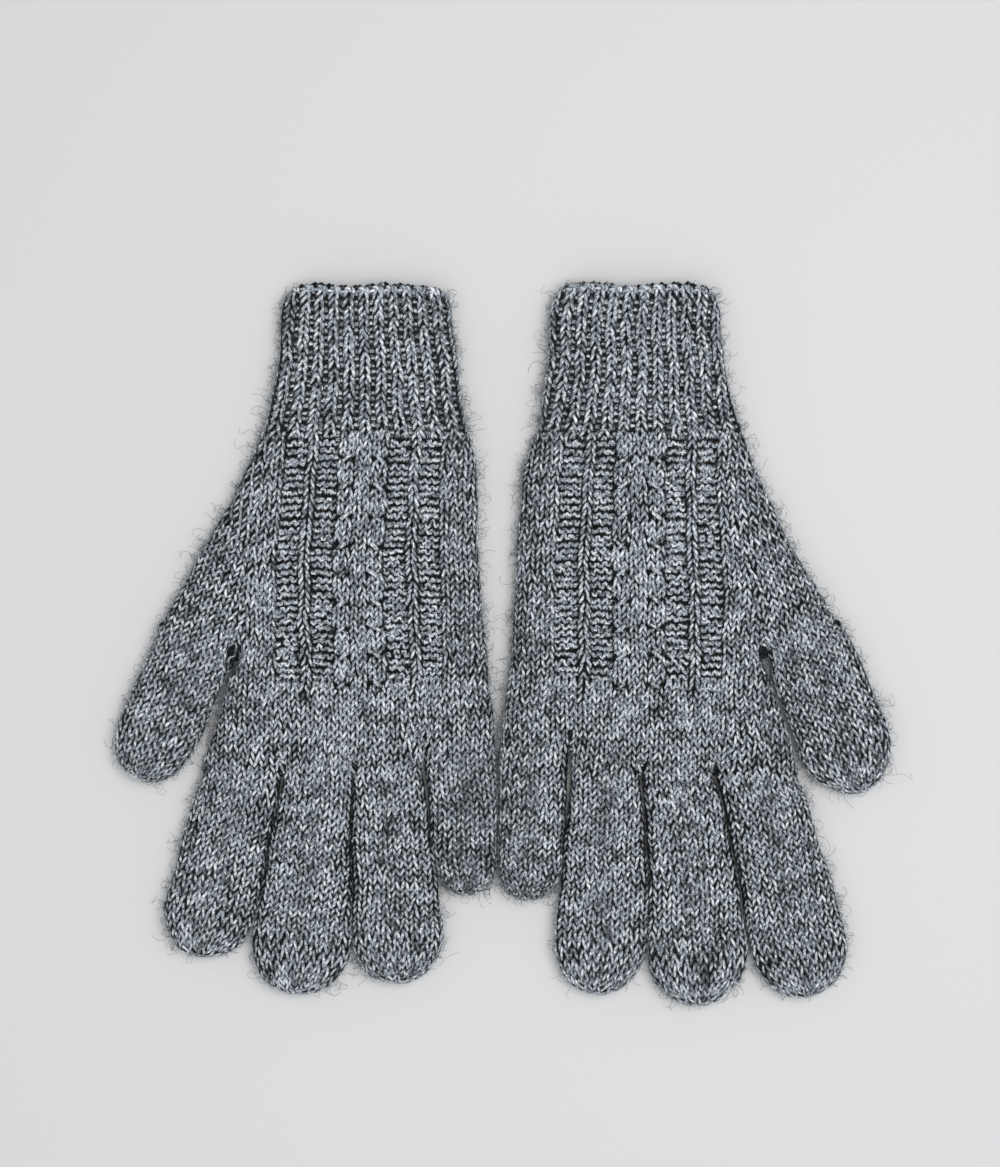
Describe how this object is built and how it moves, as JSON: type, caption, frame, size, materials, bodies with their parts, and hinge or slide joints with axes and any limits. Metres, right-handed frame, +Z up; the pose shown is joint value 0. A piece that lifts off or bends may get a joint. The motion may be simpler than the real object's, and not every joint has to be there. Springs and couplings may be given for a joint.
{
  "type": "knitted gloves",
  "caption": "Pair of hand-knitted wool gloves lying flat, backs up: ribbed cuffs, cabled backs, thumb gussets and separate fingers, hollow and open at the cuffs.",
  "frame": {"origin": "on the table under the middle of the pair's bounding box", "axes": "+Z up from the table, +Y towards the cuffs, +X from the left-hand glove to the right-hand one"},
  "size_m": [0.3091, 0.2817, 0.0129],
  "materials": {
    "grey_wool": "heathered mid-grey wool knit, matt and fuzzy"
  },
  "bodies": {
    "left_hand": {"left_hand": "grey_wool", "left_thumb_gusset": "grey_wool", "left_back_panel": "grey_wool"},
    "left_cuff": {"left_cuff": "grey_wool", "left_cast_on_edge": "grey_wool"},
    "left_little": {"left_little": "grey_wool"},
    "left_ring": {"left_ring": "grey_wool"},
    "left_middle": {"left_middle": "grey_wool"},
    "left_index": {"left_index": "grey_wool"},
    "left_thumb": {"left_thumb": "grey_wool"},
    "right_hand": {"right_hand": "grey_wool", "right_thumb_gusset": "grey_wool", "right_back_panel": "grey_wool"},
    "right_cuff": {"right_cuff": "grey_wool", "right_cast_on_edge": "grey_wool"},
    "right_little": {"right_little": "grey_wool"},
    "right_ring": {"right_ring": "grey_wool"},
    "right_middle": {"right_middle": "grey_wool"},
    "right_index": {"right_index": "grey_wool"},
    "right_thumb": {"right_thumb": "grey_wool"}
  },
  "joints": [
    {"name": "left_wrist_fold", "type": "hinge", "parent": "left_hand", "child": "left_cuff", "pos_m": [-0.05435, 0.0816, 0.012], "axis": [1, 0, 0], "range_deg": [0, 60]},
    {"name": "left_little_fold", "type": "hinge", "parent": "left_hand", "child": "left_little", "pos_m": [-0.0145, -0.037, 0.012], "axis": [-1, 0, 0], "range_deg": [0, 75]},
    {"name": "left_ring_fold", "type": "hinge", "parent": "left_hand", "child": "left_ring", "pos_m": [-0.04275, -0.0496, 0.012], "axis": [-1, 0, 0], "range_deg": [0, 75]},
    {"name": "left_middle_fold", "type": "hinge", "parent": "left_hand", "child": "left_middle", "pos_m": [-0.0709, -0.0496, 0.012], "axis": [-1, 0, 0], "range_deg": [0, 75]},
    {"name": "left_index_fold", "type": "hinge", "parent": "left_hand", "child": "left_index", "pos_m": [-0.1021, -0.0496, 0.012], "axis": [-1, 0, 0], "range_deg": [0, 75]},
    {"name": "left_thumb_swing", "type": "hinge", "parent": "left_hand", "child": "left_thumb", "pos_m": [-0.13516, 0.00771, 0.006], "axis": [0, 0, -1], "range_deg": [0, 35]},
    {"name": "right_wrist_fold", "type": "hinge", "parent": "right_hand", "child": "right_cuff", "pos_m": [0.05435, 0.0816, 0.012], "axis": [1, 0, 0], "range_deg": [0, 60]},
    {"name": "right_little_fold", "type": "hinge", "parent": "right_hand", "child": "right_little", "pos_m": [0.0145, -0.037, 0.012], "axis": [-1, 0, 0], "range_deg": [0, 75]},
    {"name": "right_ring_fold", "type": "hinge", "parent": "right_hand", "child": "right_ring", "pos_m": [0.04275, -0.0496, 0.012], "axis": [-1, 0, 0], "range_deg": [0, 75]},
    {"name": "right_middle_fold", "type": "hinge", "parent": "right_hand", "child": "right_middle", "pos_m": [0.0709, -0.0496, 0.012], "axis": [-1, 0, 0], "range_deg": [0, 75]},
    {"name": "right_index_fold", "type": "hinge", "parent": "right_hand", "child": "right_index", "pos_m": [0.1021, -0.0496, 0.012], "axis": [-1, 0, 0], "range_deg": [0, 75]},
    {"name": "right_thumb_swing", "type": "hinge", "parent": "right_hand", "child": "right_thumb", "pos_m": [0.13516, 0.00771, 0.006], "axis": [0, 0, 1], "range_deg": [0, 35]},
    {"name": "gloves_apart", "type": "slide", "parent": "left_hand", "child": "right_hand", "axis": [1, 0, 0], "range_m": [0, 0.12]}
  ]
}
